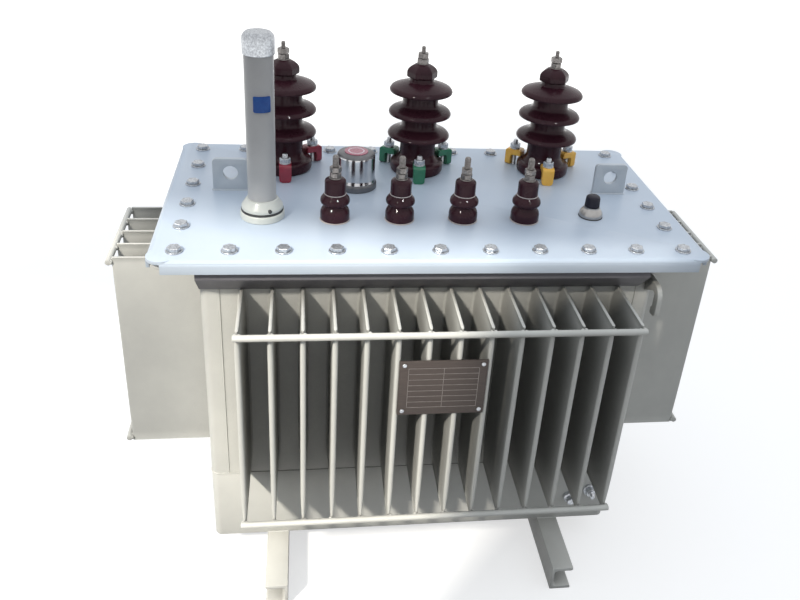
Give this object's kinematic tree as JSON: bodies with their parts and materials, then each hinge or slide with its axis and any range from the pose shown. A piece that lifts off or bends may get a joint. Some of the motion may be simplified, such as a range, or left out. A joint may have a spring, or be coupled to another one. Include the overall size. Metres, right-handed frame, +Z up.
{
  "type": "power transformer",
  "caption": "Oil-filled distribution transformer: corrugated tank on channel feet, bolted cover, high and low-voltage bushings, level tube, relief valve and lifting lugs.",
  "frame": {"origin": "on the ground below the middle of the tank", "axes": "+Z up, X along the long side, -Y towards the side with the nameplate"},
  "size_m": [1.012, 0.629, 0.913],
  "materials": {
    "tank_paint": "satin paint over welded sheet steel",
    "cover_paint": "satin paint over pressed plate",
    "porcelain": "gloss brown glaze",
    "plated_steel": "zinc plated",
    "red_clamp": "gloss",
    "green_clamp": "gloss",
    "yellow_clamp": "gloss",
    "chrome": "bright",
    "black_cap": "matt",
    "tube_paint": "satin paint",
    "window": "clear over blue",
    "plate_metal": "brushed",
    "gasket": "matt"
  },
  "bodies": {
    "root": {"tank_tray": "tank_paint", "front_corrugated_wall": "tank_paint", "back_corrugated_wall": "tank_paint", "right_corrugated_wall": "tank_paint", "left_corrugated_wall": "tank_paint", "tank_rim": "tank_paint", "cover_gasket": "gasket", "tank_cover": "cover_paint", "right_foot": "tank_paint", "left_foot": "tank_paint", "front_fin_bars": "tank_paint", "back_fin_bars": "tank_paint", "right_fin_bars": "tank_paint", "left_fin_bars": "tank_paint", "level_tube_foot": "tube_paint", "level_tube": "tube_paint", "level_tube_cap": "plated_steel", "level_window": "window", "relief_valve_base": "chrome", "relief_valve_hood": "chrome", "thermometer_pocket": "chrome", "thermometer_cap": "black_cap", "right_lifting_lug": "cover_paint", "left_lifting_lug": "cover_paint", "tank_hooks": "tank_paint", "nameplate": "plate_metal", "drain_plug": "plated_steel", "earth_terminal": "plated_steel", "hv_bushing_1": "porcelain", "hv_cap_1": "porcelain", "hv_terminal_1": "plated_steel", "hv_clamps_1": "red_clamp", "hv_bushing_2": "porcelain", "hv_cap_2": "porcelain", "hv_terminal_2": "plated_steel", "hv_clamps_2": "green_clamp", "hv_bushing_3": "porcelain", "hv_cap_3": "porcelain", "hv_terminal_3": "plated_steel", "hv_clamps_3": "yellow_clamp", "lv_bushing_1": "porcelain", "lv_terminal_1": "plated_steel", "lv_bushing_2": "porcelain", "lv_terminal_2": "plated_steel", "lv_bushing_3": "porcelain", "lv_terminal_3": "plated_steel", "lv_bushing_4": "porcelain", "lv_terminal_4": "plated_steel"}
  },
  "joints": []
}
